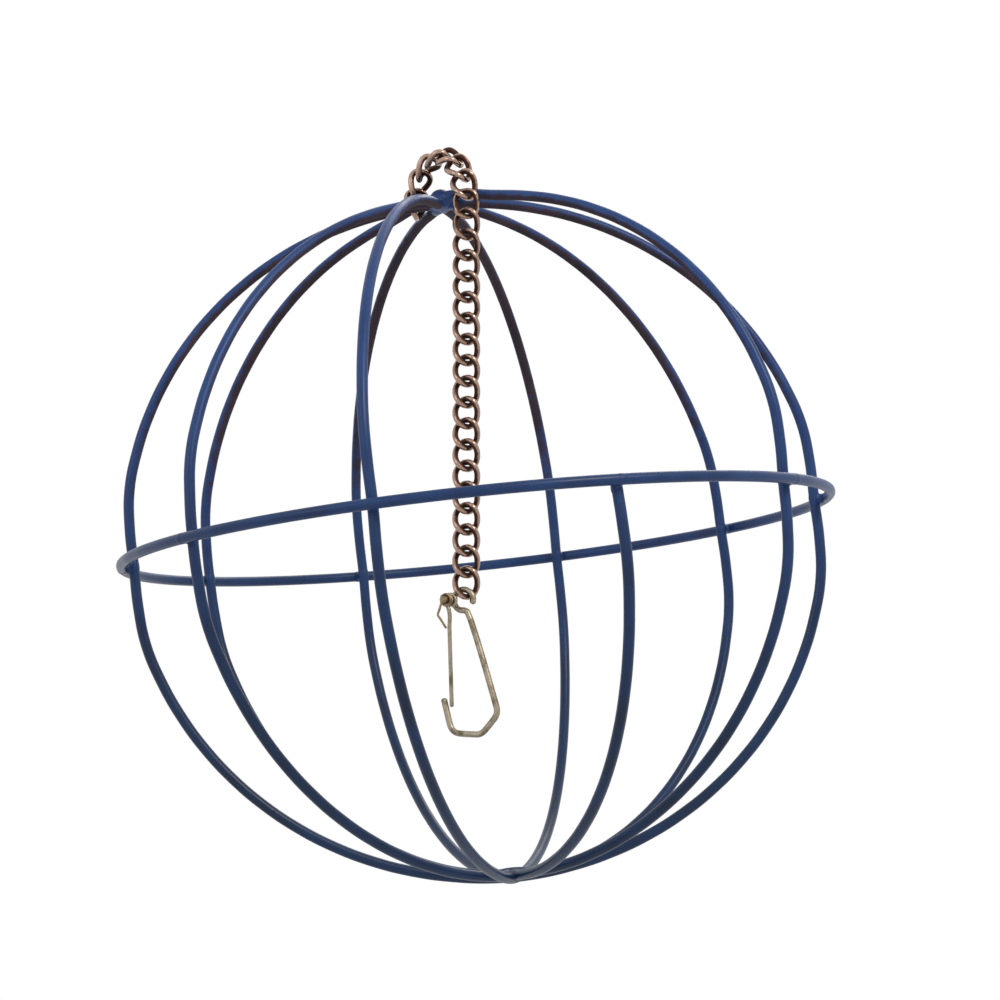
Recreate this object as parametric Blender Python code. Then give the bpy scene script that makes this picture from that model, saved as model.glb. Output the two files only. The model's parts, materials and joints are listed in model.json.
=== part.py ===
"""Hanging hay ball: a welded wire cage, and a chain with a snap looped over its crown.

Run in Blender 4.5. Metres, +Z up. The world origin is the pole of the crown, where the
wires of the cage meet. The loading gap faces -Y. The cage leans, and the chain hangs plumb.
"""
import math

import bmesh
import bpy
from mathutils import Matrix, Vector

MM = 0.001

# Cage: hoops of round wire inside one ring, all welded together
CAGE_WIRE = 4.4 * MM
RING_RADIUS = 147.7 * MM
HOOP_RADIUS = 145.3 * MM
CROWN_HEIGHT = 140.2 * MM
FOOT_HEIGHT = 143.1 * MM
CAGE_LEAN = math.radians(6.03)
WELD_GAP = 0.3 * MM
RING_GAP = 0.4 * MM
POLE_GAP = 0.6 * MM
PINCH_SPAN = math.radians(15.0)
CROWN_BOSS_HEIGHT = 9.8 * MM
CROWN_BOSS_RISE = 1.8 * MM
FOOT_BOSS_HEIGHT = 6.3 * MM
BOSS_ROUNDING = 1.6 * MM
STUB_ABOVE_RING = 1.6 * MM
HOOP_TURNS = tuple(math.radians(turn) for turn in (-15.7, 21.5, 56.2, 92.5, 129.5))
RIB_COUNT = 2 * len(HOOP_TURNS)
GAP_RIB_INDEX = 1
RIB_POINTS = 27
RING_POINTS = 72

# How far hand-welded ribs stand off the plane of their hoop
RIB_SWERVES = {2: math.radians(1.9), 5: math.radians(0.5)}

# How much each hoop is raised where the hoops cross, and how far out that has faded
CROWN_LIFTS = (-0.6 * MM, -0.9 * MM, 3.3 * MM, 0.2 * MM, 0.8 * MM)
FOOT_LIFTS = (-0.9 * MM, 0.5 * MM, 0.9 * MM, -0.3 * MM, 0.1 * MM)
LIFT_REACH = 34.0 * MM

# How far hand-bent quarters stand out of round, outwards and sideways
BOWS_ABOVE = {
    0: (0.0, -1.6),
    2: (2.2, 0.0),
    4: (-2.5, 0.0),
    5: (1.0, -1.0),
    6: (0.5, 0.8),
    8: (1.0, 0.0),
    9: (-2.5, 0.0),
}
BOWS_BELOW = {
    0: (0.0, -1.0),
    1: (2.0, 3.0),
    2: (-1.0, -2.0),
    3: (1.0, 0.0),
    4: (2.5, -0.5),
    6: (0.5, 0.8),
    7: (-3.5, -1.0),
    8: (-1.0, 0.0),
    9: (-2.0, 1.0),
}

# Chain: twisted links, so that it lies flat like a curb chain
LINK_WIRE = 2.5 * MM
LINK_WIDTH = 9.1 * MM
LINK_PITCH = 8.8 * MM
LINK_PLAY = 0.35 * MM
LINK_TWIST = math.radians(-45.0)
LINK_SQUARENESS = 2.6
LINK_POINTS = 20
LOOP_WIRE = 2.2 * MM
LOOP_WIDTH = 8.9 * MM
LOOP_LENGTH = 11.0 * MM
LOOP_TWIST = math.radians(-22.0)
ANCHOR_RIB_INDEX = 7
ANCHOR_ROOM = 0.48 * MM
ANCHOR_PLAY = 1.2 * MM
ARCH_PLAY = 0.6 * MM
ARCH_HEADING = math.radians(-51.5)
ARCH_RISES = tuple(math.radians(rise) for rise in (64.0, 36.0, 4.0, -27.0, -54.0, -73.0))
ARCH_LINKS = len(ARCH_RISES)
ARCH_ROLL = math.radians(38.0)
LOOP_RISE = math.radians(-88.0)
HANGING_LINKS = 18

# Snap: a bent wire hook, and a gate on a pin that a small coil spring holds shut
SNAP_WIRE = 2.6 * MM
SNAP_DROP = 56.5 * MM
SNAP_TURN = math.radians(-24.0)
SNAP_SHOULDER = 14.4 * MM
SNAP_SHOULDER_DROP = 48.0 * MM
SNAP_HEEL = 6.8 * MM
SNAP_TOE = 6.3 * MM
SNAP_TOE_RISE = 0.9 * MM
SNAP_TIP = 10.1 * MM
SNAP_TIP_RISE = 15.2 * MM
SNAP_BEND = 5.0 * MM
EYE_RADIUS = 4.3 * MM
EYE_ASIDE = 1.2 * MM
EYE_MOUTH = math.radians(-22.0)
EYE_END = math.radians(252.0)
LEG_KNEE = (0.43 * MM, 0.0)
LEG_TOP = (1.72 * MM, 0.65 * MM)
PIN_RADIUS = 1.5 * MM
PIN_ASIDE = 0.4 * MM
PIN_ANGLE = math.radians(184.0)
PIN_HEAD = 0.9 * MM
FIT = 0.3 * MM
GATE_WIRE = 1.7 * MM
GATE_DROP = 45.0 * MM
SPRING_WIRE = 1.0 * MM
SPRING_TURNS = 2.25
SPRING_PITCH = 1.45 * MM
TAIL_REACH = 10.2 * MM
TAIL_KNEE = 7.4 * MM
TAIL_END = 12.9 * MM

WIRE_SIDES = 8
SPRING_SIDES = 6
HINGE_MARK = 4.0 * MM
UP = Vector((0.0, 0.0, 1.0))
COATING = ("blue_coating", (0.017, 0.061, 0.223), 0.38, 0.0)
NICKEL = ("nickel_plate", (0.42, 0.37, 0.33), 0.3, 1.0)
ZINC = ("dull_zinc", (0.33, 0.3, 0.25), 0.45, 1.0)


def clear_scene():
    for item in list(bpy.data.objects):
        bpy.data.objects.remove(item, do_unlink=True)


def make_material(name, colour, roughness, metallic):
    material = bpy.data.materials.new(name)
    material.use_nodes = True
    shader = material.node_tree.nodes["Principled BSDF"]
    shader.inputs["Base Color"].default_value = (*colour, 1.0)
    shader.inputs["Roughness"].default_value = roughness
    shader.inputs["Metallic"].default_value = metallic
    return material


def add_object(name, data, material, matrix):
    item = bpy.data.objects.new(name, data)
    data.materials.append(material)
    item.matrix_world = matrix
    bpy.context.collection.objects.link(item)
    return item


def add_wire(name, points, diameter, material, matrix, closed=False, sides=WIRE_SIDES):
    """A round wire along a polyline, closed on itself or with filled ends."""
    curve = bpy.data.curves.new(name, "CURVE")
    curve.dimensions = "3D"
    curve.bevel_depth = diameter / 2
    curve.bevel_resolution = (sides - 4) // 2
    curve.use_fill_caps = True
    spline = curve.splines.new("POLY")
    spline.points.add(len(points) - 1)
    for target, point in zip(spline.points, points):
        target.co = (*point, 1.0)
    spline.use_cyclic_u = closed
    spline.use_smooth = True
    return add_object(name, curve, material, matrix)


def add_solid(name, bm, material, matrix, sharp=math.radians(35.0)):
    mesh = bpy.data.meshes.new(name)
    bmesh.ops.recalc_face_normals(bm, faces=bm.faces)
    bm.to_mesh(mesh)
    bm.free()
    mesh.shade_smooth()
    mesh.set_sharp_from_angle(angle=sharp)
    return add_object(name, mesh, material, matrix)


def keep_place(child, parent, parent_matrix):
    """Parents an object and leaves it where it stands."""
    world = child.matrix_world.copy()
    child.parent = parent
    child.matrix_parent_inverse = parent_matrix.inverted()
    child.matrix_basis = world


def cylinder(bm, radius, start, end, segments):
    """Adds a closed cylinder to the mesh, between two points on its axis."""
    axis = end - start
    turn = UP.rotation_difference(axis).to_matrix().to_4x4()
    place = Matrix.Translation((start + end) / 2) @ turn
    bmesh.ops.create_cone(
        bm,
        cap_ends=True,
        segments=segments,
        radius1=radius,
        radius2=radius,
        depth=axis.length,
        matrix=place,
    )


# The cage

def cage_matrix():
    """From the cage's own frame, centred in the ball, to the world."""
    lean = Matrix.Rotation(-CAGE_LEAN, 4, "Y")
    centre = -(lean @ Vector((0.0, 0.0, CROWN_HEIGHT)))
    return Matrix.Translation(centre) @ lean


def boss_radius():
    """Where the ribs have just come clear of their neighbours."""
    return (CAGE_WIRE + WELD_GAP) / (2 * math.sin(math.pi / RIB_COUNT))


def rib_turn(index):
    hoop = index % len(HOOP_TURNS)
    half_turn = math.pi if index >= len(HOOP_TURNS) else 0.0
    return HOOP_TURNS[hoop] + half_turn + RIB_SWERVES.get(index, 0.0)


def lift_share(out):
    """One at a pole, fading smoothly to nothing."""
    return (1 + math.cos(math.pi * min(out / LIFT_REACH, 1.0))) / 2


def hoop_point(index, polar):
    """A point of a rib's centreline in the cage's frame. Polar is 0 at the crown."""
    above = polar < math.pi / 2
    bows = BOWS_ABOVE if above else BOWS_BELOW
    outward, aside = bows.get(index, (0.0, 0.0))
    swing = abs(math.sin(2 * polar))
    stretch = 1 + outward * MM / HOOP_RADIUS * swing
    depth = HOOP_RADIUS - (RING_RADIUS - CAGE_WIRE - RING_GAP)
    off_equator = abs(polar - math.pi / 2)
    if off_equator < PINCH_SPAN:
        stretch -= depth / HOOP_RADIUS * (1 + math.cos(math.pi * off_equator / PINCH_SPAN)) / 2
    height = CROWN_HEIGHT if above else FOOT_HEIGHT
    across = HOOP_RADIUS * math.sin(polar) * stretch
    sideways = aside * MM * swing
    turn = rib_turn(index)
    lifts = CROWN_LIFTS if above else FOOT_LIFTS
    lift = lifts[index % len(HOOP_TURNS)] * lift_share(across)
    return Vector((
        across * math.sin(turn) + sideways * math.cos(turn),
        -across * math.cos(turn) + sideways * math.sin(turn),
        height * math.cos(polar) * stretch + lift,
    ))


def rib_points(index):
    """From the crown boss to the foot boss. The rib under the loading gap starts at the ring."""
    boss = math.asin((boss_radius() + POLE_GAP) / HOOP_RADIUS)
    first = boss
    count = RIB_POINTS
    if index == GAP_RIB_INDEX:
        first = math.pi / 2 - STUB_ABOVE_RING / HOOP_RADIUS
        count = RIB_POINTS // 2 + 1
    last = math.pi - boss
    step = (last - first) / (count - 1)
    return [hoop_point(index, first + step * k) for k in range(count)]


def add_boss(name, material, pole, height):
    """The round weld where the wires meet, on the cage's axis."""
    bm = bmesh.new()
    middle = Vector((0.0, 0.0, pole))
    half = Vector((0.0, 0.0, height / 2))
    cylinder(bm, boss_radius(), middle - half, middle + half, 40)
    item = add_solid(name, bm, material, cage_matrix())
    rounding = item.modifiers.new("rounding", "BEVEL")
    rounding.width = BOSS_ROUNDING
    rounding.segments = 3
    rounding.limit_method = "ANGLE"
    return item


def add_cage():
    material = make_material(*COATING)
    place = cage_matrix()
    pieces = []
    for index in range(RIB_COUNT):
        name = "rib_%02d" % (index + 1)
        pieces.append(add_wire(name, rib_points(index), CAGE_WIRE, material, place))
    ring = []
    for k in range(RING_POINTS):
        turn = 2 * math.pi * k / RING_POINTS
        ring.append((RING_RADIUS * math.sin(turn), RING_RADIUS * math.cos(turn), 0.0))
    pieces.append(add_wire("equator_ring", ring, CAGE_WIRE, material, place, closed=True))
    crown = CROWN_HEIGHT + CROWN_BOSS_RISE
    pieces.append(add_boss("crown_boss", material, crown, CROWN_BOSS_HEIGHT))
    pieces.append(add_boss("foot_boss", material, -FOOT_HEIGHT, FOOT_BOSS_HEIGHT))
    return pieces


# The chain

class Link:
    """One link: its frame, and the wire centres of the bow it hangs by and of the far bow."""

    def __init__(self, name, rise, roll, wire, width, length, twist):
        self.name = name
        self.wire = wire
        self.width = width
        self.length = length
        self.twist = twist
        heading = Vector((math.cos(ARCH_HEADING), math.sin(ARCH_HEADING), 0.0))
        travel = heading * math.cos(rise) + UP * math.sin(rise)
        self.axis = -travel
        across = UP.cross(heading)
        bend = math.atan2(UP.cross(self.axis).dot(across), self.axis.dot(UP))
        self.turn = Matrix.Rotation(bend, 4, across) @ Matrix.Rotation(roll, 4, "Z")

    def hang(self, first_bow):
        """Places the link by the wire centre of its first bow."""
        self.first = first_bow
        self.centre = first_bow - self.axis * self.length / 2
        self.last = first_bow - self.axis * self.length

    def matrix(self):
        return Matrix.Translation(self.centre) @ self.turn

    def bow_tangent(self, first):
        """The way that the wire runs at the middle of a bow."""
        angle = self.twist if first else -self.twist
        local = Vector((math.cos(angle), math.sin(angle), 0.0))
        return (self.turn @ local).normalized()


def link_length():
    return LINK_PITCH + LINK_WIRE + LINK_PLAY


def anchor_reach():
    """How far out a link fits between the rib it holds and that rib's neighbours."""
    return (CAGE_WIRE + LINK_WIRE + 2 * ANCHOR_ROOM) / (2 * math.sin(math.pi / RIB_COUNT))


def anchor_seat():
    """The point of the anchor rib's centreline that the first link is round, and its tangent."""
    polar = math.asin(anchor_reach() / HOOP_RADIUS)
    here = cage_matrix() @ hoop_point(ANCHOR_RIB_INDEX, polar)
    ahead = cage_matrix() @ hoop_point(ANCHOR_RIB_INDEX, polar + 0.01)
    return here, (ahead - here).normalized()


def chain_links():
    """All links from the crown to the snap, each placed in the one before."""
    straight = math.radians(-90.0)
    common = (LINK_WIRE, LINK_WIDTH, link_length(), LINK_TWIST)
    links = [Link("anchor_link", -straight, ARCH_ROLL, *common)]
    for k, rise in enumerate(ARCH_RISES):
        roll = ARCH_ROLL * (1 - (k + 1) / (ARCH_LINKS + 1))
        links.append(Link("arch_link_%d" % (k + 1), rise, roll, *common))
    links.append(Link("loop_link", LOOP_RISE, 0.0, LOOP_WIRE, LOOP_WIDTH, LOOP_LENGTH, LOOP_TWIST))
    for k in range(HANGING_LINKS):
        links.append(Link("chain_link_%02d" % (k + 1), straight, 0.0, *common))
    seat = anchor_seat()[0]
    anchor = links[0]
    lowest = seat - UP * (CAGE_WIRE / 2 + ANCHOR_PLAY + LINK_WIRE / 2)
    anchor.hang(lowest)
    for number, (before, link) in enumerate(zip(links, links[1:])):
        towards = (before.axis + link.axis).normalized()
        play = ARCH_PLAY if number <= ARCH_LINKS else LINK_PLAY
        spacing = (before.wire + link.wire) / 2 + play
        link.hang(before.last + towards * spacing)
    return links


def link_outline(width, length, twist):
    """A squared oval, twisted about its long axis, with its points evenly spaced."""
    fine = 40 * LINK_POINTS
    outline = []
    for k in range(fine):
        angle = 2 * math.pi * k / fine
        c, s = math.cos(angle), math.sin(angle)
        x = width / 2 * math.copysign(abs(c) ** (2 / LINK_SQUARENESS), c)
        z = length / 2 * math.copysign(abs(s) ** (2 / LINK_SQUARENESS), s)
        turn = twist * 2 * z / length
        outline.append(Vector((x * math.cos(turn), x * math.sin(turn), z)))
    steps = [(outline[(k + 1) % fine] - outline[k]).length for k in range(fine)]
    spacing = sum(steps) / LINK_POINTS
    points = []
    run = 0.0
    for point, step in zip(outline, steps):
        if run >= spacing * len(points) - step / 2 and len(points) < LINK_POINTS:
            points.append(point)
        run += step
    return points


def hinge_of(links, number):
    """A link's hinge: on the wire before it in the arch, then by turns on that and on its own."""
    link = links[number]
    if number == 0:
        return anchor_seat()
    if number <= ARCH_LINKS or number % 2 == 0:
        before = links[number - 1]
        return before.last, before.bow_tangent(first=False)
    return link.first, link.bow_tangent(first=True)


def add_hinge(name, pivot, axis):
    """An empty whose Z axis lies on a hinge."""
    turn = UP.rotation_difference(axis).to_matrix().to_4x4()
    empty = bpy.data.objects.new(name, None)
    empty.empty_display_size = HINGE_MARK
    empty.matrix_world = Matrix.Translation(pivot) @ turn
    bpy.context.collection.objects.link(empty)
    return empty


def add_chain(cage_root):
    material = make_material(*NICKEL)
    parent = cage_root
    parent_matrix = cage_root.matrix_world.copy()
    links = chain_links()
    for number, link in enumerate(links):
        points = link_outline(link.width, link.length, link.twist)
        item = add_wire(link.name, points, link.wire, material, link.matrix(), closed=True)
        hinge = add_hinge("hinge_" + link.name, *hinge_of(links, number))
        hinge_matrix = hinge.matrix_world.copy()
        keep_place(item, hinge, hinge_matrix)
        keep_place(hinge, parent, parent_matrix)
        parent, parent_matrix = hinge, hinge_matrix
    return links, parent, parent_matrix


# The snap, in a frame at the wire centre of the last link's lower bow

def rounded_path(corners, radius, segments):
    """A line through corners in the XZ plane, each inner corner rounded by an arc."""
    path = [Vector((corners[0][0], 0.0, corners[0][1]))]
    for before, corner, after in zip(corners, corners[1:], corners[2:]):
        here = Vector((corner[0], 0.0, corner[1]))
        back = (Vector((before[0], 0.0, before[1])) - here).normalized()
        ahead = (Vector((after[0], 0.0, after[1])) - here).normalized()
        half = back.angle(ahead) / 2
        reach = radius / math.tan(half)
        centre = here + (back + ahead).normalized() * radius / math.sin(half)
        start = here + back * reach - centre
        end = here + ahead * reach - centre
        sweep = start.angle(end)
        for k in range(segments + 1):
            share = k / segments
            arm = start * math.sin((1 - share) * sweep) + end * math.sin(share * sweep)
            path.append(centre + arm / math.sin(sweep))
    path.append(Vector((corners[-1][0], 0.0, corners[-1][1])))
    return path


def snap_matrix(links):
    """The snap is turned, so that its eye crosses the last link's wire."""
    return Matrix.Translation(links[-1].last) @ Matrix.Rotation(SNAP_TURN, 4, "Z")


def gate_axis(links):
    return snap_matrix(links).to_3x3() @ Vector((0.0, 1.0, 0.0))


def eye_centre():
    """The eye hangs on the link's wire by the inside of its top, a little to one side."""
    top = (LINK_WIRE + SNAP_WIRE) / 2 + LINK_PLAY
    drop = math.sqrt(EYE_RADIUS ** 2 - EYE_ASIDE ** 2)
    return Vector((-EYE_ASIDE, 0.0, top - drop))


def snap_path():
    """From the wire's end at the eye's mouth, round the eye, down the leg and round the hook."""
    eye = eye_centre()
    points = []
    steps = 22
    for k in range(steps + 1):
        angle = EYE_MOUTH + (EYE_END - EYE_MOUTH) * k / steps
        points.append(eye + Vector((math.cos(angle), 0.0, math.sin(angle))) * EYE_RADIUS)
    foot = eye.z - EYE_RADIUS
    hook = rounded_path(
        (
            (eye.x + LEG_TOP[0], foot - LEG_TOP[1]),
            (SNAP_SHOULDER, -SNAP_SHOULDER_DROP),
            (SNAP_HEEL, -SNAP_DROP),
            (-SNAP_TOE, -SNAP_DROP + SNAP_TOE_RISE),
            (-SNAP_TIP, -SNAP_DROP + SNAP_TIP_RISE),
        ),
        SNAP_BEND,
        6,
    )
    knee = Vector((eye.x + LEG_KNEE[0], 0.0, foot - LEG_KNEE[1]))
    return points + [knee] + hook


def pin_place():
    """The pin stands on the front of the eye, a little outside its wire."""
    arm = Vector((math.cos(PIN_ANGLE), 0.0, math.sin(PIN_ANGLE)))
    return eye_centre() + arm * (EYE_RADIUS + PIN_ASIDE)


def gate_plane():
    """How far in front of the hook the gate's eyelet lies."""
    return -(SNAP_WIRE / 2 + 2 * FIT + GATE_WIRE / 2 + PIN_HEAD)


def spring_start():
    return gate_plane() - GATE_WIRE / 2 - 2 * FIT - SPRING_WIRE / 2


def pin_end():
    return spring_start() - SPRING_PITCH * SPRING_TURNS - SPRING_WIRE / 2 - FIT


def bore_radius():
    return PIN_RADIUS + FIT


def gate_head():
    """Where the gate's straight wire leaves its eyelet."""
    drop = bore_radius() + GATE_WIRE / 2
    return Vector((pin_place().x, gate_plane(), pin_place().z - drop))


def gate_foot():
    """The gate's free end, just inside the hook's wire."""
    rise = (GATE_DROP - SNAP_DROP + SNAP_TIP_RISE) / SNAP_TIP_RISE
    wire = -SNAP_TIP + (SNAP_TIP - SNAP_TOE) * rise
    return Vector((wire + (SNAP_WIRE + GATE_WIRE) / 2 + 2 * FIT, 0.0, -GATE_DROP))


def add_body(material, place):
    return add_wire("snap_body", snap_path(), SNAP_WIRE, material, place)


def add_pin(material, place):
    """A headed pin: the head lies against the eye, and the shank carries gate and spring."""
    bm = bmesh.new()
    base = pin_place() + Vector((0.0, -(SNAP_WIRE / 2 + FIT), 0.0))
    head = base + Vector((0.0, -PIN_HEAD, 0.0))
    tip = Vector((base.x, pin_end(), base.z))
    cylinder(bm, PIN_RADIUS + GATE_WIRE / 2, base, head, 24)
    item = add_solid("gate_pin", bm, material, place)
    shank = bmesh.new()
    cylinder(shank, PIN_RADIUS, head + Vector((0.0, PIN_HEAD / 2, 0.0)), tip, 24)
    join_parts(item, add_solid("gate_pin_shank", shank, material, place), "UNION")
    return item


def join_parts(item, other, operation):
    """Joins or cuts with a second solid, and keeps only the result."""
    step = item.modifiers.new(operation.lower(), "BOOLEAN")
    step.operation = operation
    step.solver = "EXACT"
    step.object = other
    other.hide_render = True
    other.display_type = "WIRE"


def add_gate(material, place):
    """A straight wire with an eyelet that turns on the pin."""
    centre = Vector((pin_place().x, gate_plane(), pin_place().z))
    half = Vector((0.0, GATE_WIRE / 2, 0.0))
    eyelet = bmesh.new()
    outer = bore_radius() + GATE_WIRE * 0.6
    cylinder(eyelet, outer, centre - half, centre + half, 32)
    item = add_solid("snap_gate", eyelet, material, place)
    rod = bmesh.new()
    cylinder(rod, GATE_WIRE / 2, gate_head(), gate_foot(), 12)
    join_parts(item, add_solid("snap_gate_rod", rod, material, place), "UNION")
    bore = bmesh.new()
    cylinder(bore, bore_radius(), centre - 2 * half, centre + 2 * half, 32)
    join_parts(item, add_solid("snap_gate_bore", bore, material, place), "DIFFERENCE")
    return item


def spring_path():
    """A coil round the pin, then a tail that bends out and back to the gate's side."""
    axis = pin_place()
    radius = PIN_RADIUS + FIT + SPRING_WIRE / 2
    per_turn = 10
    steps = round(SPRING_TURNS * per_turn)
    points = []
    for k in range(steps + 1):
        turn = 2 * math.pi * k / per_turn + math.pi - 2 * math.pi * SPRING_TURNS
        points.append(Vector((
            axis.x + radius * math.cos(turn),
            spring_start() - SPRING_PITCH * (steps - k) / per_turn,
            axis.z + radius * math.sin(turn),
        )))
    return points


def tail_path(start):
    """The tail's bends, from the coil's end to a stop beside the gate."""
    foot = gate_foot()
    head = gate_head()
    share = (head.z + TAIL_END) / (head.z - foot.z)
    gate = head.lerp(foot, share)
    beside = gate - Vector(((GATE_WIRE + SPRING_WIRE) / 2 + FIT, 0.0, 0.0))
    knee = Vector((-TAIL_REACH, start.y, -TAIL_KNEE))
    high = start.lerp(knee, 0.75)
    low = knee.lerp(beside, 0.3)
    return [start.lerp(high, 0.5), high, knee, low, beside]


def add_spring(material, place):
    points = spring_path()
    points += tail_path(points[-1])
    return add_wire("gate_spring", points, SPRING_WIRE, material, place, sides=SPRING_SIDES)


def add_snap(links, parent, parent_matrix):
    material = make_material(*ZINC)
    place = snap_matrix(links)
    hinge = add_hinge("hinge_snap", links[-1].last, links[-1].bow_tangent(first=False))
    swing = add_hinge("hinge_gate", place @ pin_place(), gate_axis(links))
    body_frame = hinge.matrix_world.copy()
    swing_frame = swing.matrix_world.copy()
    fixed = [add_body(material, place), add_pin(material, place), add_spring(material, place)]
    gate = add_gate(material, place)
    for item in fixed + [swing]:
        keep_place(item, hinge, body_frame)
    keep_place(gate, swing, swing_frame)
    keep_place(hinge, parent, parent_matrix)


def main():
    clear_scene()
    cage_root = add_hinge("cage_root", Vector((0.0, 0.0, 0.0)), UP)
    for piece in add_cage():
        keep_place(piece, cage_root, cage_root.matrix_world.copy())
    links, parent, parent_matrix = add_chain(cage_root)
    add_snap(links, parent, parent_matrix)
    bpy.context.view_layer.update()


main()
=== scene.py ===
import json
import math
import random

import bmesh
import bpy
import numpy as np
from mathutils import Matrix, Vector


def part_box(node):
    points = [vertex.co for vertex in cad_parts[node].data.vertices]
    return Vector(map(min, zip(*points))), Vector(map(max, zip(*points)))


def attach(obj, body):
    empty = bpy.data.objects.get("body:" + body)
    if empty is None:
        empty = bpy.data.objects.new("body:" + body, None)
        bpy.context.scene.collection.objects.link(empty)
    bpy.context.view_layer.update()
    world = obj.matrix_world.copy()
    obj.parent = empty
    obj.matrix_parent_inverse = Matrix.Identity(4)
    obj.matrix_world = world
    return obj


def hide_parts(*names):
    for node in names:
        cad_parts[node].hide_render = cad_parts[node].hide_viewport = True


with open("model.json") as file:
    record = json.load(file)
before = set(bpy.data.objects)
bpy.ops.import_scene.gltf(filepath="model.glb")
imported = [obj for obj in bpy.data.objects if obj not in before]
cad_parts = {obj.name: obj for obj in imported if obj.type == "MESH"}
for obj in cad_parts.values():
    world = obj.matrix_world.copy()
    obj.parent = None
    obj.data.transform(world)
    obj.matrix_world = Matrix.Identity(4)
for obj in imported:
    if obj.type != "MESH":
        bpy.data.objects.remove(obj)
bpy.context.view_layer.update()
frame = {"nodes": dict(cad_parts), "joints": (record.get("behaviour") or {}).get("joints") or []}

MM = 0.001
MERGE = 0.0005 * MM
SMOOTH_BELOW = math.radians(40.0)

# The cage's wire and its welds
CAGE_WIRE = 4.4 * MM
HOOPS = ("a", "b", "c", "d", "e")
GAP_HOOP = "b"
GAP_RIB = "rib_02"
RIB_SIDES = 8
RING_STOPS = 48
CROWN_BOSS_RISE = 1.8 * MM
CROSSING_GAP = 4.8 * MM
# Painted light: between these heights the blue turns from a shaded copy below to a lit copy above
PAINTED_LIGHT_FROM = -225.0 * MM
PAINTED_LIGHT_ABOVE = -60.0 * MM
WELD_SPREAD = 5.2 * MM
WELD_RADIUS = 2.4 * MM
WELD_BRIDGE = (2.5 * MM, 2.3 * MM)
GAP_RIB_WELD = (2.6 * MM, 3.9 * MM)
WELD_VOXEL = 0.42 * MM
RING_WELD_FLOW = 5
POLE_WELD_FLOW = 6
RING_WELD_GRIME = 0.15
POLE_WELD_GRIME = 0.1
POLE_WELD = (11.0 * MM, 2.42 * MM)
GAP_HOOP_WELD = (8.0 * MM, 3.6 * MM)
CROWN_BLOB = (4.7 * MM, 4.9 * MM, 0.2 * MM)
FOOT_BLOB = (2.9 * MM, 5.2 * MM, 0.0)

# The chain's wire, and the fine seam where each link was closed
LINK_WIRE = 2.5 * MM
LOOP_WIRE = 2.2 * MM
LINK_CORNERS = 2.6
LINK_STOPS = 24
LINK_STEPS = 1200
SEAM_DEPTH = 0.14 * MM
SEAM_HALF = 0.1 * MM
COMMON_LINK = (9.1 * MM, 11.65 * MM, math.radians(-45.0), LINK_WIRE)
LOOP_LINK = (8.9 * MM, 11.0 * MM, math.radians(-22.0), LOOP_WIRE)

# The snap's wires
SNAP_WIRE = 2.6 * MM
GATE_WIRE = 1.7 * MM
SPRING_WIRE = 1.0 * MM
SPRING_SIDES = 6
PIN_RADIUS = 1.5 * MM
PIN_HEAD = 0.9 * MM
PIN_ROUNDING = 0.22 * MM
GATE_LOOP_RADIUS = PIN_RADIUS + 0.98 * MM
GATE_LOOP_STOPS = 15
GATE_LOOP_START = -75.0
GATE_LOOP_STEP = 22.0
GATE_LOOP_PITCH = 0.25 * MM

# The camera stands a little under the ball's middle, at the photograph's angle
CAMERA_DISTANCE = 1242.0 * MM
CAMERA_RISE = math.radians(6.03)
CAMERA_LENS = 107.1
CAMERA_SENSOR = 36.0
CAMERA_SHIFT = (0.0238, 0.0332)
FLOOR_UNDER_BALL = 0.55
FLOOR_SIZE = 60.0
SHADOW_NEAR = 0.5
SHADOW_FAR = 1.6
SOFTBOXES = (
    ("key_softbox", (1.1, -1.5, 1.5), 0.7, 24.0, "#fff6ea"),
    ("fill_softbox", (-1.6, -1.4, 0.8), 1.2, 7.0, "#eef3ff"),
    ("back_softbox", (0.6, 1.6, 1.5), 1.0, 8.0, "#ffffff"),
)


def srgb(code):
    """A hex colour as a linear one."""
    parts = [int(code[k:k + 2], 16) / 255 for k in (1, 3, 5)]
    linear = [p / 12.92 if p <= 0.04045 else ((p + 0.055) / 1.055) ** 2.4 for p in parts]
    return tuple(linear) + (1.0,)


def add_node(tree, kind, settings=None, inputs=None):
    """Adds a node. An input is given a value, or is linked where it is given a socket."""
    made = tree.nodes.new(kind)
    for name, value in (settings or {}).items():
        setattr(made, name, value)
    for name, value in (inputs or {}).items():
        if isinstance(value, bpy.types.NodeSocket):
            tree.links.new(value, made.inputs[name])
        else:
            made.inputs[name].default_value = value
    return made


def new_material(name):
    material = bpy.data.materials.new(name)
    material.use_nodes = True
    tree = material.node_tree
    return material, tree, tree.nodes["Principled BSDF"]


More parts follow.
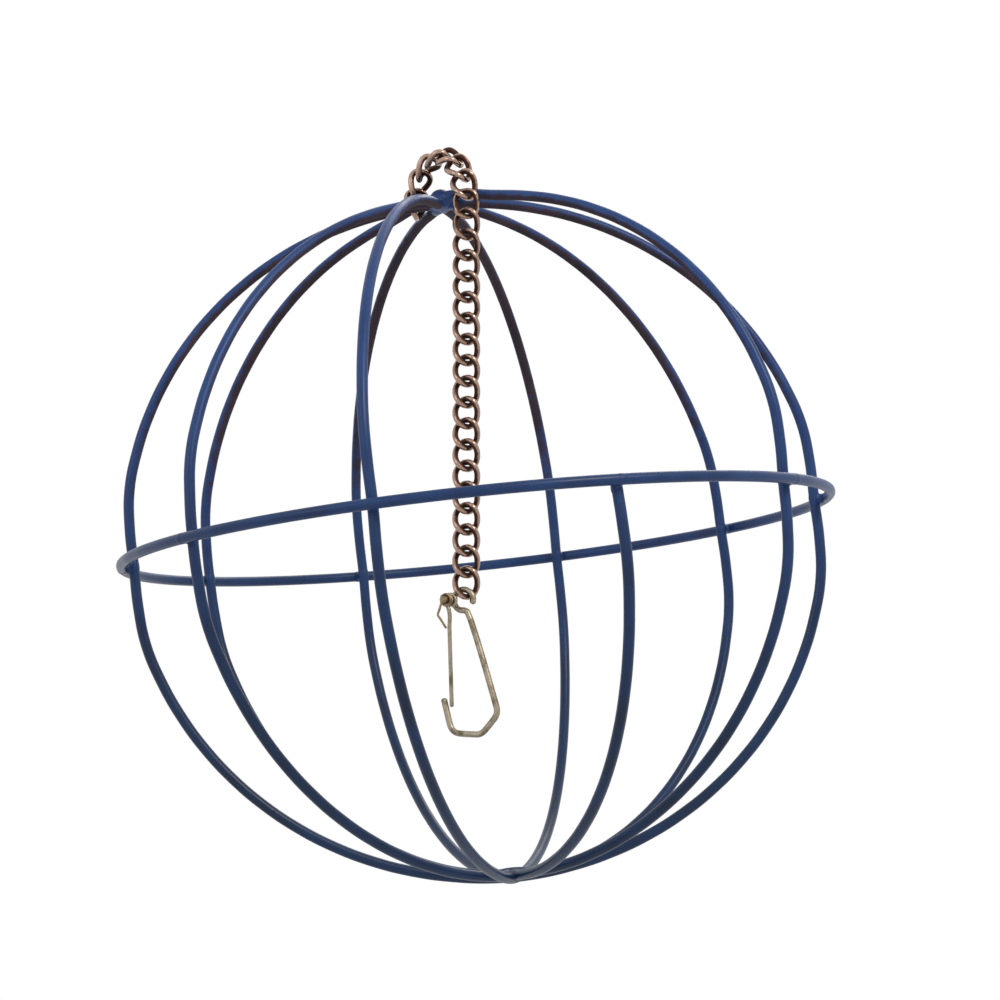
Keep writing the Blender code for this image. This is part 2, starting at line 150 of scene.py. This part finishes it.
def powder_coat():
    """Blue powder coat on steel wire, baked on and years old. The eye gets a blue that is lighter
    towards the top as painted light and darker towards the bottom as painted shade, with a slight
    orange peel and dull patches, and dusty, rusty brown on the inside of the upper ribs, which is
    partly real and partly painted shade and a painted brown reflection there."""
    material, tree, shader = new_material("blue_powder_coat")
    place = add_node(tree, "ShaderNodeTexCoord").outputs["Object"]
    peel = add_node(
        tree, "ShaderNodeTexNoise", None,
        {"Vector": place, "Scale": 1 / (1.6 * MM), "Detail": 2.0, "Roughness": 0.5},
    ).outputs["Fac"]
    patches = add_node(
        tree, "ShaderNodeTexNoise", None,
        {"Vector": place, "Scale": 1 / (26.0 * MM), "Detail": 4.0, "Roughness": 0.6},
    ).outputs["Fac"]
    specks = add_node(
        tree, "ShaderNodeTexNoise", None,
        {"Vector": place, "Scale": 1 / (4.5 * MM), "Detail": 3.0, "Roughness": 0.5},
    ).outputs["Fac"]
    grime_and_shade = add_node(tree, "ShaderNodeAttribute", {"attribute_name": "grime_and_shade"}).outputs["Fac"]
    tone = add_node(
        tree, "ShaderNodeMapRange", None,
        {"Value": patches, "From Min": 0.35, "From Max": 0.65},
    ).outputs["Result"]
    # Painted light and shade: lit blue high on the ball, shaded blue low on it
    level = add_node(tree, "ShaderNodeSeparateXYZ", None, {"Vector": place}).outputs["Z"]
    upper = add_node(
        tree, "ShaderNodeMapRange", {"interpolation_type": "SMOOTHSTEP"},
        {"Value": level, "From Min": PAINTED_LIGHT_FROM, "From Max": PAINTED_LIGHT_ABOVE},
    ).outputs["Result"]
    shaded_blue = add_node(
        tree, "ShaderNodeMix", {"data_type": "RGBA"},
        {0: tone, 6: srgb("#0d2543"), 7: srgb("#18365e")},
    ).outputs[2]
    lit_blue = add_node(
        tree, "ShaderNodeMix", {"data_type": "RGBA"},
        {0: tone, 6: srgb("#1c3d76"), 7: srgb("#2c4e88")},
    ).outputs[2]
    blue = add_node(
        tree, "ShaderNodeMix", {"data_type": "RGBA"}, {0: upper, 6: shaded_blue, 7: lit_blue},
    ).outputs[2]
    # Dark brown mix: partly dusty, rusty coating, partly painted shade and a painted brown
    # reflection on the inner faces of the upper ribs
    spots_and_shade = add_node(
        tree, "ShaderNodeMath", {"operation": "ADD"}, {0: grime_and_shade, 1: specks},
    ).outputs[0]
    dirt_and_shade = add_node(
        tree, "ShaderNodeMapRange", {"interpolation_type": "SMOOTHSTEP"},
        {"Value": spots_and_shade, "From Min": 0.62, "From Max": 1.25},
    ).outputs["Result"]
    brown = add_node(
        tree, "ShaderNodeMix", {"data_type": "RGBA"},
        {0: tone, 6: srgb("#2e2631"), 7: srgb("#483944")},
    ).outputs[2]
    colour = add_node(
        tree, "ShaderNodeMix", {"data_type": "RGBA"}, {0: dirt_and_shade, 6: blue, 7: brown},
    ).outputs[2]
    dull = add_node(
        tree, "ShaderNodeMapRange", None,
        {"Value": patches, "From Min": 0.3, "From Max": 0.7, "To Min": 0.3, "To Max": 0.46},
    ).outputs["Result"]
    rough = add_node(
        tree, "ShaderNodeMix", {"data_type": "FLOAT"}, {0: dirt_and_shade, 2: dull, 3: 0.78},
    ).outputs[0]
    height = add_node(
        tree, "ShaderNodeMix", {"data_type": "FLOAT"}, {0: dirt_and_shade, 2: peel, 3: specks},
    ).outputs[0]
    bump = add_node(
        tree, "ShaderNodeBump", None,
        {"Height": height, "Strength": 0.25, "Distance": 0.12 * MM},
    ).outputs["Normal"]
    shader.inputs["Specular IOR Level"].default_value = 0.3
    tree.links.new(colour, shader.inputs["Base Color"])
    tree.links.new(rough, shader.inputs["Roughness"])
    tree.links.new(bump, shader.inputs["Normal"])
    return material


def plated_chain():
    """Nickel plate on steel links, worn. The eye gets bright, warm grey outsides, their warm tint
    partly a painted brown reflection, and brown tarnished metal where the links turn in on each
    other, which is partly real and partly painted shade and a painted dark reflection there."""
    material, tree, shader = new_material("worn_nickel_plate")
    place = add_node(tree, "ShaderNodeTexCoord").outputs["Object"]
    cloud = add_node(
        tree, "ShaderNodeTexNoise", None,
        {"Vector": place, "Scale": 1 / (2.4 * MM), "Detail": 5.0, "Roughness": 0.6},
    ).outputs["Fac"]
    grit = add_node(
        tree, "ShaderNodeTexNoise", None,
        {"Vector": place, "Scale": 1 / (0.45 * MM), "Detail": 3.0, "Roughness": 0.6},
    ).outputs["Fac"]
    # Painted shade: the inward faces of each link get more of the dark brown, together with real
    # tarnished metal
    inside = add_node(tree, "ShaderNodeAttribute", {"attribute_name": "inside"}).outputs["Fac"]
    both = add_node(
        tree, "ShaderNodeMath", {"operation": "ADD"}, {0: inside, 1: cloud},
    ).outputs[0]
    tarnish_and_shade = add_node(
        tree, "ShaderNodeMapRange", {"interpolation_type": "SMOOTHSTEP"},
        {"Value": both, "From Min": 0.55, "From Max": 1.1},
    ).outputs["Result"]
    # The warm grey is partly the plate's own tint, partly a painted brown reflection; the dark
    # brown is tarnished metal and painted shade
    colour = add_node(
        tree, "ShaderNodeMix", {"data_type": "RGBA"},
        {0: tarnish_and_shade, 6: srgb("#a88c7d"), 7: srgb("#45291e")},
    ).outputs[2]
    rough = add_node(
        tree, "ShaderNodeMapRange", None,
        {"Value": tarnish_and_shade, "To Min": 0.2, "To Max": 0.6},
    ).outputs["Result"]
    metal = add_node(
        tree, "ShaderNodeMapRange", None,
        {"Value": tarnish_and_shade, "To Min": 1.0, "To Max": 0.7},
    ).outputs["Result"]
    bump = add_node(
        tree, "ShaderNodeBump", None,
        {"Height": grit, "Strength": 0.3, "Distance": 0.05 * MM},
    ).outputs["Normal"]
    tree.links.new(colour, shader.inputs["Base Color"])
    tree.links.new(rough, shader.inputs["Roughness"])
    tree.links.new(metal, shader.inputs["Metallic"])
    tree.links.new(bump, shader.inputs["Normal"])
    return material


def dull_zinc(name, bright, dark):
    """Zinc plate on spring wire, gone dull. The eye gets a greenish-grey metal with cloudy
    brown stains and fine pits."""
    material, tree, shader = new_material(name)
    place = add_node(tree, "ShaderNodeTexCoord").outputs["Object"]
    cloud = add_node(
        tree, "ShaderNodeTexNoise", None,
        {"Vector": place, "Scale": 1 / (6.0 * MM), "Detail": 6.0, "Roughness": 0.65},
    ).outputs["Fac"]
    pits = add_node(
        tree, "ShaderNodeTexNoise", None,
        {"Vector": place, "Scale": 1 / (0.6 * MM), "Detail": 3.0, "Roughness": 0.6},
    ).outputs["Fac"]
    stain = add_node(
        tree, "ShaderNodeMapRange", {"interpolation_type": "SMOOTHSTEP"},
        {"Value": cloud, "From Min": 0.42, "From Max": 0.66},
    ).outputs["Result"]
    colour = add_node(
        tree, "ShaderNodeMix", {"data_type": "RGBA"},
        {0: stain, 6: srgb(bright), 7: srgb(dark)},
    ).outputs[2]
    rough = add_node(
        tree, "ShaderNodeMapRange", None,
        {"Value": stain, "To Min": 0.36, "To Max": 0.62},
    ).outputs["Result"]
    bump = add_node(
        tree, "ShaderNodeBump", None,
        {"Height": pits, "Strength": 0.3, "Distance": 0.06 * MM},
    ).outputs["Normal"]
    shader.inputs["Metallic"].default_value = 0.9
    tree.links.new(colour, shader.inputs["Base Color"])
    tree.links.new(rough, shader.inputs["Roughness"])
    tree.links.new(bump, shader.inputs["Normal"])
    return material


def deselect():
    bpy.ops.object.select_all(action="DESELECT")


def select_only(pieces):
    deselect()
    for piece in pieces:
        piece.select_set(True)
    bpy.context.view_layer.objects.active = pieces[0]


def bend_wire(name, points, radii, closed=False, sides=20, steps=6):
    """One wire through the points, thick as the radii say, closed on itself or with ends."""
    deselect()
    bpy.ops.curve.primitive_bezier_curve_add(location=(0.0, 0.0, 0.0))
    wire = bpy.context.object
    wire.name = name
    bpy.ops.object.mode_set(mode="EDIT")
    bpy.ops.curve.select_all(action="SELECT")
    bpy.ops.curve.subdivide(number_cuts=len(points) - 2)
    if closed:
        bpy.ops.curve.cyclic_toggle()
    bpy.ops.object.mode_set(mode="OBJECT")
    spline = wire.data.splines[0]
    for stop, point, radius in zip(spline.bezier_points, points, radii):
        stop.co = point
        stop.radius = radius
    for stop in spline.bezier_points:
        stop.handle_left_type = "AUTO"
        stop.handle_right_type = "AUTO"
    wire.data.bevel_depth = 1.0
    wire.data.bevel_resolution = (sides - 4) // 2
    wire.data.resolution_u = steps
    wire.data.use_fill_caps = True
    bpy.ops.object.convert(target="MESH")
    close_up(wire)
    return wire


def close_up(piece):
    """Merges doubles, turns all faces outwards and shades the piece smooth."""
    select_only([piece])
    bpy.ops.object.mode_set(mode="EDIT")
    bpy.ops.mesh.select_all(action="SELECT")
    bpy.ops.mesh.remove_doubles(threshold=MERGE)
    bpy.ops.mesh.normals_make_consistent(inside=False)
    bpy.ops.object.mode_set(mode="OBJECT")
    bpy.ops.object.shade_smooth_by_angle(angle=SMOOTH_BELOW)


def finish_piece(piece, material, body, slot, *nodes):
    piece.data.materials.clear()
    piece.data.materials.append(material)
    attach(piece, body)
    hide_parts(*nodes)


def paint(piece, name, value_at):
    """Gives each corner point of the mesh a value that the material reads."""
    mesh = piece.data
    layer = mesh.attributes.new(name, "FLOAT", "POINT")
    normals = mesh.vertex_normals
    values = [value_at(v.co, normals[v.index].vector) for v in mesh.vertices]
    layer.data.foreach_set("value", values)


def middle(node):
    low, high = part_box(node)
    return (low + high) / 2


def tube_centres(node, sides, start):
    """The centre line of a CAD wire, ring of corners by ring, from its end nearest start."""
    mesh = bmesh.new()
    mesh.from_mesh(frame["nodes"][node].data)
    bmesh.ops.remove_doubles(mesh, verts=mesh.verts, dist=MERGE)
    layer = sorted(mesh.verts, key=lambda v: (v.co - start).length)[:sides]
    seen = set(layer)
    centres = []
    while layer:
        total = Vector()
        for vert in layer:
            total += vert.co
        centres.append(total / len(layer))
        onward = []
        for vert in layer:
            for edge in vert.link_edges:
                other = edge.other_vert(vert)
                if other not in seen:
                    seen.add(other)
                    onward.append(other)
        layer = onward
    mesh.free()
    return centres


# The cage's own frame, from its bosses and its ring

CROWN = middle("crown_boss")
FOOT = middle("foot_boss")
RING_CENTRE = middle("equator_ring")
AXIS = (CROWN - FOOT).normalized()
ACROSS = Vector((0.0, 1.0, 0.0)).cross(AXIS).normalized()
CAGE = Matrix((
    (ACROSS.x, 0.0, AXIS.x, RING_CENTRE.x),
    (ACROSS.y, 1.0, AXIS.y, RING_CENTRE.y),
    (ACROSS.z, 0.0, AXIS.z, RING_CENTRE.z),
    (0.0, 0.0, 0.0, 1.0),
))
CAGE_BACK = CAGE.inverted()


def dust_and_shade(co, normal):
    """How dusty and rusty the coating is, and how much painted shade it gets: most on the inside
    of the upper half, where the inward faces lie in shade.
    """
    local = CAGE_BACK @ co
    turned = CAGE_BACK.to_3x3() @ normal
    inward = -turned.dot(local.normalized())
    height = local.z / (CAGE_BACK @ CROWN).z
    upper = min(max((height - 0.05) / 0.6, 0.0), 1.0)
    # Painted shade: faces turned in towards the ball's middle get more of the dark brown mix
    facing = min(max(inward * 0.9 + 0.4, 0.0), 1.0)
    return 0.95 * upper * facing


def make_hoops(coat):
    """Five hoops of one wire each. The one under the loading gap starts at the ring."""
    for number, hoop in enumerate(HOOPS):
        near, far = "rib_%02d" % (number + 1), "rib_%02d" % (number + 6)
        down = tube_centres(near, RIB_SIDES, CROWN)
        up = tube_centres(far, RIB_SIDES, CROWN)[::-1]
        points = down + up
        if hoop == GAP_HOOP:
            points.append(CROWN - AXIS * CROWN_BOSS_RISE)
        radii = [CAGE_WIRE / 2] * len(points)
        piece = bend_wire("hoop_" + hoop, points, radii, closed=hoop != GAP_HOOP)
        paint(piece, "grime_and_shade", dust_and_shade)
        finish_piece(piece, coat, "cage", "blue_coating", near, far)


def make_ring(coat):
    """The waist ring, one wire bent into a closed circle."""
    low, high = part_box("equator_ring")
    radius = (high.y - low.y) / 2 - CAGE_WIRE / 2
    points = []
    radii = []
    for k in range(RING_STOPS):
        turn = 2 * math.pi * k / RING_STOPS
        points.append(CAGE @ Vector((radius * math.sin(turn), radius * math.cos(turn), 0.0)))
        radii.append(CAGE_WIRE / 2)
    piece = bend_wire("waist_ring", points, radii, closed=True)
    paint(piece, "grime_and_shade", dust_and_shade)
    finish_piece(piece, coat, "cage", "blue_coating", "equator_ring")


def swelling(centre, axis, half_length, radius):
    """A long drop of weld metal, along a wire."""
    deselect()
    bpy.ops.mesh.primitive_uv_sphere_add(segments=24, ring_count=16, radius=1.0)
    drop = bpy.context.object
    drop.scale = (radius, radius, half_length)
    drop.rotation_euler = Vector((0.0, 0.0, 1.0)).rotation_difference(axis).to_euler()
    drop.location = centre
    bpy.ops.object.transform_apply(location=True, rotation=True, scale=True)
    return drop


def fuse(name, drops, smoothing):
    """Melts drops into one smooth coated weld."""
    select_only(drops)
    bpy.ops.object.join()
    weld = bpy.context.object
    weld.name = name
    melt = weld.modifiers.new("melt", "REMESH")
    melt.mode = "VOXEL"
    melt.voxel_size = WELD_VOXEL
    bpy.ops.object.modifier_apply(modifier=melt.name)
    flow = weld.modifiers.new("flow", "SMOOTH")
    flow.factor = 0.5
    flow.iterations = smoothing
    bpy.ops.object.modifier_apply(modifier=flow.name)
    close_up(weld)
    return weld


def copy_mesh(source, name, place):
    """A copy with its own mesh, moved into place in that mesh."""
    mesh = source.data.copy()
    mesh.transform(place)
    made = bpy.data.objects.new(name, mesh)
    bpy.context.scene.collection.objects.link(made)
    return made


def make_ring_welds(coat):
    """A weld where each rib crosses the ring, modelled at the back and copied round. The rib
    under the loading gap stops there, so that its weld is one of its own, set lower."""
    low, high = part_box("equator_ring")
    radius = (high.y - low.y) / 2 - CAGE_WIRE / 2
    ring_at = Vector((0.0, radius, 0.0))
    rib_at = Vector((0.0, radius - CROSSING_GAP, 0.0))
    patterns = []
    bridge, thickness = WELD_BRIDGE
    for lower, spread in ((0.0, WELD_SPREAD), GAP_RIB_WELD):
        along_rib = rib_at - Vector((0.0, 0.0, lower))
        drops = [
            swelling(ring_at, Vector((1.0, 0.0, 0.0)), WELD_SPREAD, WELD_RADIUS),
            swelling(along_rib, Vector((0.0, 0.0, 1.0)), spread, WELD_RADIUS),
            swelling((ring_at + rib_at) / 2, Vector((0.0, 1.0, 0.0)), bridge, thickness),
        ]
        patterns.append(fuse("weld_pattern", drops, RING_WELD_FLOW))
    rng = random.Random(4)
    for number in range(10):
        rib = "rib_%02d" % (number + 1)
        line = tube_centres(rib, RIB_SIDES, CROWN)
        waist = min((CAGE_BACK @ point for point in line), key=lambda p: abs(p.z))
        turn = math.atan2(-waist.x, waist.y)
        plump = rng.uniform(0.95, 1.06)
        size = Matrix.Translation(rib_at) @ Matrix.Diagonal((plump, 1.0, plump, 1.0))
        place = CAGE @ Matrix.Rotation(turn, 4, "Z") @ size @ Matrix.Translation(-rib_at)
        pattern = patterns[1] if rib == GAP_RIB else patterns[0]
        piece = copy_mesh(pattern, "ring_weld_%02d" % (number + 1), place)
        paint(piece, "grime_and_shade", lambda co, normal: RING_WELD_GRIME)
        piece.data.materials.append(coat)
        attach(piece, "cage")
    for pattern in patterns:
        bpy.data.objects.remove(pattern, do_unlink=True)


def make_pole_weld(name, node, pole, blob, coat):
    """The weld at a pole: one drop along each hoop where it crosses, and a blob in the middle."""
    drops = []
    for number, hoop in enumerate(HOOPS):
        line = tube_centres("rib_%02d" % (number + 6), RIB_SIDES, pole)
        height = AXIS * (line[0] - pole).dot(AXIS)
        run = (line[0] - pole - height).normalized()
        half, radius = POLE_WELD
        centre = pole + height
        if hoop == GAP_HOOP and node == "crown_boss":
            half, shift = GAP_HOOP_WELD
            centre += run * shift
        drops.append(swelling(centre, run, half, radius))
    tall, wide, rise = blob
    drops.append(swelling(pole + AXIS * rise, AXIS, tall, wide))
    piece = fuse(name, drops, POLE_WELD_FLOW)
    paint(piece, "grime_and_shade", lambda co, normal: POLE_WELD_GRIME)
    finish_piece(piece, coat, "cage", "blue_coating", node)


def link_points(width, length, twist):
    """A squared oval, twisted about its long axis, at even steps."""
    outline = []
    for k in range(LINK_STEPS):
        angle = 2 * math.pi * k / LINK_STEPS
        c, s = math.cos(angle), math.sin(angle)
        x = width / 2 * math.copysign(abs(c) ** (2 / LINK_CORNERS), c)
        z = length / 2 * math.copysign(abs(s) ** (2 / LINK_CORNERS), s)
        turn = twist * 2 * z / length
        outline.append(Vector((x * math.cos(turn), x * math.sin(turn), z)))
    steps = [(after - here).length for here, after in zip(outline, outline[1:] + outline[:1])]
    spacing = sum(steps) / LINK_STOPS
    points = []
    run = 0.0
    for point, step in zip(outline, steps):
        if run >= spacing * len(points) - step / 2 and len(points) < LINK_STOPS:
            points.append(point)
        run += step
    return points


def make_link_pattern(name, width, length, twist, wire):
    """One link, with a fine seam across its wire at the middle of one side."""
    points = link_points(width, length, twist)
    pattern = bend_wire(name, points, [wire / 2] * len(points), closed=True, sides=18, steps=5)
    seam_at = points[0]
    for vert in pattern.data.vertices:
        beside = vert.co - seam_at
        if abs(beside.z) < SEAM_HALF and beside.length < wire:
            inward = Vector((beside.x, beside.y, 0.0)).normalized()
            vert.co -= inward * SEAM_DEPTH

    # Painted shade: how far each face turns in towards the link's own middle
    def inner_tarnish_and_shade(co, normal):
        wire_at = min(points, key=lambda p: (p - co).length)
        return min(max(0.5 - 0.9 * normal.dot(wire_at.normalized()), 0.0), 1.0)

    paint(pattern, "inside", inner_tarnish_and_shade)
    return pattern


def link_place(node):
    """A link's frame, from the spread of its corners: Z along it and X across it."""
    mesh = bmesh.new()
    mesh.from_mesh(frame["nodes"][node].data)
    bmesh.ops.remove_doubles(mesh, verts=mesh.verts, dist=MERGE)
    corners = np.array([v.co for v in mesh.verts])
    mesh.free()
    centre = corners.mean(axis=0)
    ways = np.linalg.eigh(np.cov((corners - centre).T))[1]
    along = Vector(ways[:, 2])
    across = Vector(ways[:, 1])
    flat = along.cross(across)
    turn = Matrix((across, flat, along)).transposed().to_4x4()
    return Matrix.Translation(Vector(centre)) @ turn


def make_chain(plate):
    """A copy of the link for each link of the chain, some turned half round, so that not all
    seams lie on one side. The loop link has its own shape."""
    common = make_link_pattern("link_pattern", *COMMON_LINK)
    loop = make_link_pattern("loop_pattern", *LOOP_LINK)
    rng = random.Random(7)
    for node in sorted(frame["nodes"]):
        if "link" not in node:
            continue
        pattern = loop if node == "loop_link" else common
        flip = Matrix.Rotation(math.pi * rng.randint(0, 1), 4, "Z")
        piece = copy_mesh(pattern, node + "_wire", link_place(node) @ flip)
        finish_piece(piece, plate, node, "nickel_plate", node)
    for pattern in (common, loop):
        bpy.data.objects.remove(pattern, do_unlink=True)


# The snap's own frame: its origin on the last link, Y along the gate's pin

JOINTS = {joint["name"]: joint for joint in frame["joints"]}
SNAP_Y = -Vector(JOINTS["gate_opens"]["axis"]).normalized()
SNAP_Z = Vector((0.0, 0.0, 1.0))
SNAP_X = SNAP_Y.cross(SNAP_Z)
SNAP = (
    Matrix.Translation(Vector(JOINTS["snap_swing"]["pos_m"]))
    @ Matrix((SNAP_X, SNAP_Y, SNAP_Z)).transposed().to_4x4()
)
SNAP_BACK = SNAP.inverted()
PIN = SNAP_BACK @ Vector(JOINTS["gate_opens"]["pos_m"])


def local_corners(node):
    return [SNAP_BACK @ v.co for v in frame["nodes"][node].data.vertices]


def rounded_ends(points, radius, ends):
    """Adds short steps of falling radius at a wire's ends, so that they are round."""
    radii = [radius] * len(points)
    for end in ends:
        tip, before = (points[0], points[1]) if end == "first" else (points[-1], points[-2])
        out = (tip - before).normalized()
        base = tip - out * radius * 0.8
        cap = []
        for share in (0.0, 0.45, 0.75, 0.93, 1.0):
            thin = radius * math.sqrt(1 - 0.96 * share ** 2)
            cap.append((base + out * radius * 0.8 * share, thin))
        if end == "first":
            points = [c[0] for c in reversed(cap)] + points[1:]
            radii = [c[1] for c in reversed(cap)] + radii[1:]
        else:
            points = points[:-1] + [c[0] for c in cap]
            radii = radii[:-1] + [c[1] for c in cap]
    return points, radii


def make_snap(zinc, stained):
    corners = local_corners("snap_body")
    tip = min(corners, key=lambda c: c.x)
    line = tube_centres("snap_body", RIB_SIDES, SNAP @ tip)
    points, radii = rounded_ends(line, SNAP_WIRE / 2, ("first", "last"))
    body = bend_wire("snap_hook", points, radii, sides=22, steps=6)
    finish_piece(body, zinc, "snap", "dull_zinc", "snap_body")

    gate = local_corners("snap_gate")
    lowest = min(c.z for c in gate)
    foot = [c for c in gate if c.z < lowest + 1.2 * MM]
    foot_at = sum(foot, Vector()) / len(foot)
    eyelet = [c.y for c in gate if (c - PIN).length < 4 * MM]
    plane = (min(eyelet) + max(eyelet)) / 2
    reach = GATE_LOOP_RADIUS
    points = []
    for k in range(GATE_LOOP_STOPS):
        angle = math.radians(GATE_LOOP_START + GATE_LOOP_STEP * k)
        shift = (k / (GATE_LOOP_STOPS - 1) - 1) * GATE_LOOP_PITCH
        points.append(Vector((
            PIN.x + reach * math.cos(angle),
            plane + shift,
            PIN.z + reach * math.sin(angle),
        )))
    head = Vector((PIN.x - reach * 0.25, plane, PIN.z - reach * 1.5))
    for share in (0.0, 0.2, 0.4, 0.6, 0.8, 1.0):
        points.append(head.lerp(foot_at, share))
    points, radii = rounded_ends([SNAP @ p for p in points], GATE_WIRE / 2, ("first", "last"))
    swing = bend_wire("snap_gate_wire", points, radii, sides=18, steps=6)
    finish_piece(swing, zinc, "gate", "dull_zinc", "snap_gate")

    before_pin = SNAP @ (PIN + Vector((0.0, -20.0 * MM, 0.0)))
    coil = tube_centres("gate_spring", SPRING_SIDES, before_pin)
    points, radii = rounded_ends(coil, SPRING_WIRE / 2, ("first", "last"))
    spring = bend_wire("snap_spring_wire", points, radii, sides=14, steps=4)
    finish_piece(spring, stained, "snap", "dull_zinc", "gate_spring")

    make_pin(stained)


def make_pin(zinc):
    """A turned pin with a rivet head against the eye, its edges rounded."""
    corners = local_corners("gate_pin")
    front = min(c.y for c in corners)
    back = max(c.y for c in corners)
    head = max((c - PIN).cross(Vector((0.0, 1.0, 0.0))).length for c in corners)
    parts = []
    for radius, start, end in ((PIN_RADIUS, front, back), (head, back - PIN_HEAD, back)):
        deselect()
        bpy.ops.mesh.primitive_cylinder_add(vertices=32, radius=radius, depth=end - start)
        turned = bpy.context.object
        turn = Matrix.Rotation(math.pi / 2, 4, "X")
        centre = Vector((PIN.x, (start + end) / 2, PIN.z))
        turned.data.transform(SNAP @ Matrix.Translation(centre) @ turn)
        rounding = turned.modifiers.new("rounding", "BEVEL")
        rounding.width = PIN_ROUNDING
        rounding.segments = 3
        bpy.ops.object.modifier_apply(modifier=rounding.name)
        parts.append(turned)
    pin = parts[0]
    pin.name = "snap_pin_turned"
    join = pin.modifiers.new("join", "BOOLEAN")
    join.operation = "UNION"
    join.object = parts[1]
    select_only([pin])
    bpy.ops.object.modifier_apply(modifier=join.name)
    bpy.data.objects.remove(parts[1], do_unlink=True)
    close_up(pin)
    finish_piece(pin, zinc, "snap", "dull_zinc", "gate_pin")


# Stage, lights and camera

def make_stage():
    """A matt white floor. The eye gets plain white, with the ball's soft shadow under it."""
    deselect()
    level = FOOT.z - FLOOR_UNDER_BALL
    bpy.ops.mesh.primitive_plane_add(size=FLOOR_SIZE, location=(0.0, 0.0, level))
    floor = bpy.context.object
    floor.name = "studio_floor"
    material, tree, shader = new_material("white_studio_floor")
    shader.inputs["Base Color"].default_value = srgb("#f4f4f4")
    shader.inputs["Roughness"].default_value = 0.9
    rays = add_node(tree, "ShaderNodeLightPath")
    place = add_node(tree, "ShaderNodeTexCoord").outputs["Object"]
    away = add_node(
        tree, "ShaderNodeVectorMath", {"operation": "LENGTH"}, {0: place},
    ).outputs["Value"]
    far = add_node(
        tree, "ShaderNodeMapRange", {"interpolation_type": "SMOOTHSTEP"},
        {
            "Value": away, "From Min": SHADOW_NEAR, "From Max": SHADOW_FAR,
            "To Min": 0.75, "To Max": 1.0,
        },
    ).outputs["Result"]
    seen = add_node(
        tree, "ShaderNodeMath", {"operation": "MAXIMUM"},
        {0: rays.outputs["Is Camera Ray"], 1: rays.outputs["Is Glossy Ray"]},
    ).outputs[0]
    seen = add_node(
        tree, "ShaderNodeMath", {"operation": "MAXIMUM"},
        {0: seen, 1: rays.outputs["Is Transmission Ray"]},
    ).outputs[0]
    share = add_node(
        tree, "ShaderNodeMath", {"operation": "MULTIPLY"}, {0: seen, 1: far},
    ).outputs[0]
    glow = add_node(
        tree, "ShaderNodeEmission", None, {"Color": (1.0, 1.0, 1.0, 1.0), "Strength": 1.0},
    ).outputs[0]
    mixed = add_node(
        tree, "ShaderNodeMixShader", None, {0: share, 1: shader.outputs[0], 2: glow},
    ).outputs[0]
    tree.links.new(mixed, tree.nodes["Material Output"].inputs["Surface"])
    floor.data.materials.append(material)


def make_world():
    """Even, faintly cool light from all round. The eye and the metal see plain white there."""
    world = bpy.data.worlds.new("studio")
    bpy.context.scene.world = world
    world.use_nodes = True
    tree = world.node_tree
    tree.nodes.clear()
    rays = add_node(tree, "ShaderNodeLightPath")
    seen = add_node(
        tree, "ShaderNodeMath", {"operation": "MAXIMUM"},
        {0: rays.outputs["Is Camera Ray"], 1: rays.outputs["Is Glossy Ray"]},
    ).outputs[0]
    seen = add_node(
        tree, "ShaderNodeMath", {"operation": "MAXIMUM"},
        {0: seen, 1: rays.outputs["Is Transmission Ray"]},
    ).outputs[0]
    soft = add_node(
        tree, "ShaderNodeBackground", None, {"Color": srgb("#e8ecf4"), "Strength": 0.35},
    ).outputs[0]
    white = add_node(
        tree, "ShaderNodeBackground", None, {"Color": (1.0, 1.0, 1.0, 1.0), "Strength": 1.0},
    ).outputs[0]
    mixed = add_node(tree, "ShaderNodeMixShader", None, {0: seen, 1: soft, 2: white}).outputs[0]
    add_node(tree, "ShaderNodeOutputWorld", None, {"Surface": mixed})


def add_softbox(name, place, size, power, colour):
    light = bpy.data.lights.new(name, "AREA")
    light.shape = "SQUARE"
    light.size = size
    light.energy = power
    light.color = srgb(colour)[:3]
    box = bpy.data.objects.new(name, light)
    bpy.context.scene.collection.objects.link(box)
    box.location = RING_CENTRE + Vector(place)
    box.rotation_euler = (-Vector(place)).to_track_quat("-Z", "Y").to_euler()


def make_camera():
    lens = bpy.data.cameras.new("photo_camera")
    lens.lens = CAMERA_LENS
    lens.sensor_width = CAMERA_SENSOR
    lens.shift_x, lens.shift_y = CAMERA_SHIFT
    camera = bpy.data.objects.new("photo_camera", lens)
    bpy.context.scene.collection.objects.link(camera)
    back = Vector((0.0, -math.cos(CAMERA_RISE), -math.sin(CAMERA_RISE)))
    camera.location = RING_CENTRE + back * CAMERA_DISTANCE
    camera.rotation_euler = (math.pi / 2 + CAMERA_RISE, 0.0, 0.0)
    bpy.context.scene.camera = camera


coat = powder_coat()
make_hoops(coat)
make_ring(coat)
make_ring_welds(coat)
make_pole_weld("crown_weld", "crown_boss", CROWN, CROWN_BLOB, coat)
make_pole_weld("foot_weld", "foot_boss", FOOT, FOOT_BLOB, coat)
make_chain(plated_chain())
make_snap(
    dull_zinc("dull_zinc_plate", "#a09684", "#70664f"),
    dull_zinc("stained_zinc_plate", "#a39072", "#6b5a41"),
)
make_stage()
make_world()
for softbox in SOFTBOXES:
    add_softbox(*softbox)
make_camera()
bpy.context.scene.view_settings.view_transform = "Standard"
